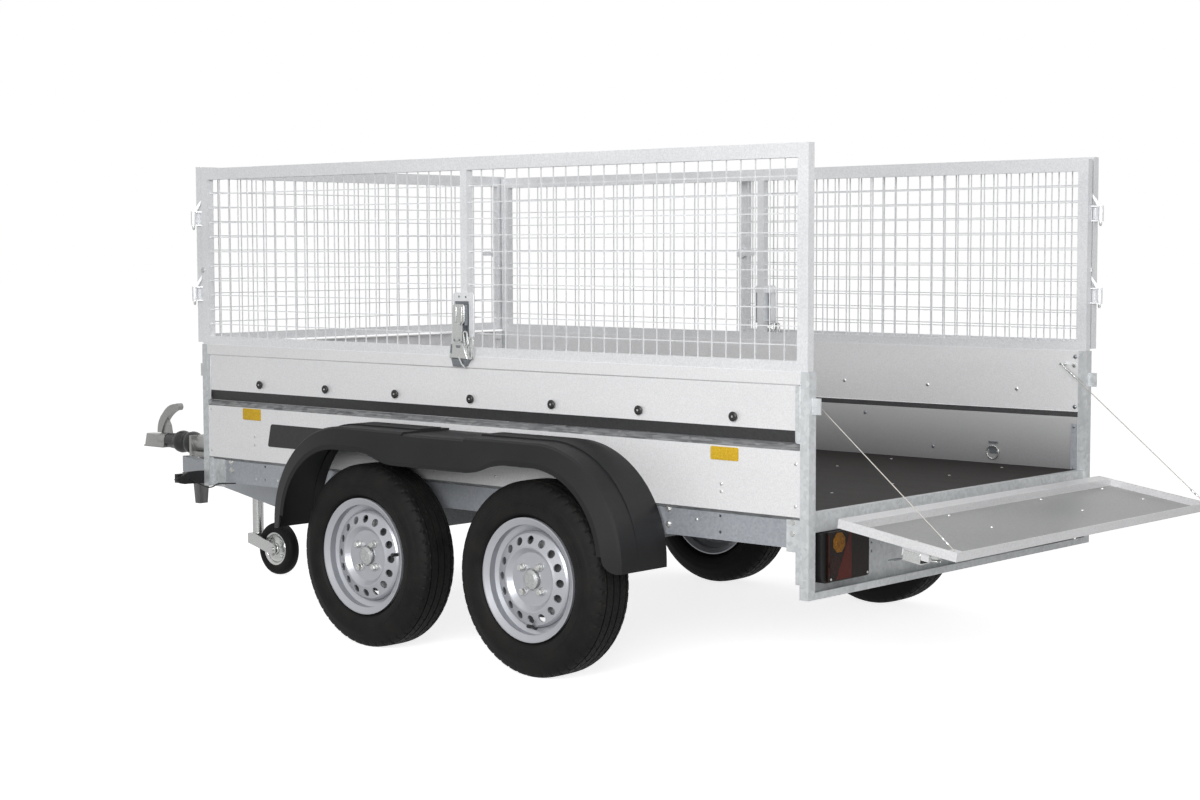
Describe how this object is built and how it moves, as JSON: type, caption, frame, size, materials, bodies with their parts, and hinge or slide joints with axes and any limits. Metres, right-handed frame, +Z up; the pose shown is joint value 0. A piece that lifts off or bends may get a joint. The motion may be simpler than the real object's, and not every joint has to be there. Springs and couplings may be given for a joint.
{
  "type": "utility trailer",
  "caption": "Galvanised tandem-axle box trailer with ribbed boards, mesh sides, mesh gates, a lowered tailgate, a V drawbar with an overrun coupling, and a jockey wheel.",
  "frame": {"origin": "on the ground, under the middle of the overall length and width", "axes": "+X forward to the coupling, +Y to the left side, +Z up"},
  "size_m": [4.4308, 1.936, 1.528],
  "materials": {
    "galvanised": "hot-dip galvanised with a fine spangle",
    "plywood": "film-faced plywood, dark brown",
    "tyre_rubber": "matte black tyre rubber",
    "rim_silver": "silver paint",
    "drum_iron": "zinc-plated cast drum",
    "guard_plastic": "grained black polypropylene",
    "rubber_black": "matte black rubber",
    "coupling_zinc": "passivated zinc",
    "axle_zinc": "dull galvanised",
    "bright_steel": "bright zinc plate",
    "jockey_tyre": "solid black rubber",
    "lamp_red": "red lens in a black housing",
    "reflector_amber": "amber prismatic reflector"
  },
  "bodies": {
    "chassis": {"bellows": "rubber_black", "brake_lever": "coupling_zinc", "brake_rod": "bright_steel", "coupling_handle": "coupling_zinc", "coupling_head": "coupling_zinc", "drawbar_left": "galvanised", "drawbar_right": "galvanised", "feed_cables": "rubber_black", "floor_bearers": "galvanised", "floor_board": "plywood", "front_axle": "axle_zinc", "front_cross_rail": "galvanised", "front_posts": "galvanised", "jockey_sleeve": "bright_steel", "lower_board_left": "galvanised", "lower_board_right": "galvanised", "marker_lamps": "rubber_black", "mesh_left": "galvanised", "mesh_right": "galvanised", "mudguard_left": "guard_plastic", "mudguard_right": "guard_plastic", "nose_foot": "rubber_black", "overrun_housing": "coupling_zinc", "rear_axle": "axle_zinc", "rear_cross_rail": "galvanised", "rear_crossbar": "galvanised", "rear_posts": "galvanised", "side_latches": "bright_steel", "side_rail_left": "galvanised", "side_rail_right": "galvanised", "side_reflectors": "reflector_amber", "stay_hooks": "galvanised", "tail_lamps": "lamp_red", "tailgate_stays": "bright_steel", "upper_board_left": "galvanised", "upper_board_right": "galvanised"},
    "front_gate": {"front_gate": "galvanised"},
    "front_mesh_gate": {"front_mesh_gate": "galvanised"},
    "wheel_front_left": {"hub_front_left": "drum_iron", "rim_front_left": "rim_silver", "tyre_front_left": "tyre_rubber"},
    "wheel_front_right": {"hub_front_right": "drum_iron", "rim_front_right": "rim_silver", "tyre_front_right": "tyre_rubber"},
    "wheel_rear_left": {"hub_rear_left": "drum_iron", "rim_rear_left": "rim_silver", "tyre_rear_left": "tyre_rubber"},
    "wheel_rear_right": {"hub_rear_right": "drum_iron", "rim_rear_right": "rim_silver", "tyre_rear_right": "tyre_rubber"},
    "jockey_caster": {"jockey_fork": "bright_steel"},
    "jockey_wheel": {"jockey_roller": "jockey_tyre"},
    "jockey_leg": {"jockey_tube": "bright_steel"},
    "rear_mesh_gate": {"rear_mesh_gate": "galvanised"},
    "tailgate": {"tailgate": "galvanised"}
  },
  "joints": [
    {"name": "tailgate_hinge", "type": "hinge", "parent": "chassis", "child": "tailgate", "pos_m": [-1.79459, 0, 0.495], "axis": [0, 1, 0], "range_deg": [0, 98.6], "deforming": ["tailgate_stays"]},
    {"name": "front_gate_hinge", "type": "hinge", "parent": "chassis", "child": "front_gate", "pos_m": [0.8454, 0, 0.495], "axis": [0, 1, 0], "range_deg": [0, 90]},
    {"name": "rear_mesh_gate_hinge", "type": "hinge", "parent": "chassis", "child": "rear_mesh_gate", "pos_m": [-1.80059, -0.767, 1.065], "axis": [0, 0, -1], "range_deg": [0, 267]},
    {"name": "front_mesh_gate_hinge", "type": "hinge", "parent": "chassis", "child": "front_mesh_gate", "pos_m": [0.8514, 0.767, 1.065], "axis": [0, 0, 1], "range_deg": [0, 267]},
    {"name": "wheel_front_left_spin", "type": "hinge", "parent": "chassis", "child": "wheel_front_left", "pos_m": [-0.19159, 0.857, 0.288], "axis": [0, 1, 0], "continuous": true},
    {"name": "wheel_front_right_spin", "type": "hinge", "parent": "chassis", "child": "wheel_front_right", "pos_m": [-0.19159, -0.857, 0.288], "axis": [0, 1, 0], "continuous": true},
    {"name": "wheel_rear_left_spin", "type": "hinge", "parent": "chassis", "child": "wheel_rear_left", "pos_m": [-0.9076, 0.857, 0.288], "axis": [0, 1, 0], "continuous": true},
    {"name": "wheel_rear_right_spin", "type": "hinge", "parent": "chassis", "child": "wheel_rear_right", "pos_m": [-0.9076, -0.857, 0.288], "axis": [0, 1, 0], "continuous": true},
    {"name": "jockey_lift", "type": "slide", "parent": "chassis", "child": "jockey_leg", "axis": [0, 0, 1], "range_m": [0, 0.125]},
    {"name": "jockey_swivel", "type": "hinge", "parent": "jockey_leg", "child": "jockey_caster", "pos_m": [1.2954, 0.15, 0.15], "axis": [0, 0, 1], "continuous": true},
    {"name": "jockey_wheel_spin", "type": "hinge", "parent": "jockey_caster", "child": "jockey_wheel", "pos_m": [1.1704, 0.15, 0.1], "axis": [0, 1, 0], "continuous": true}
  ]
}
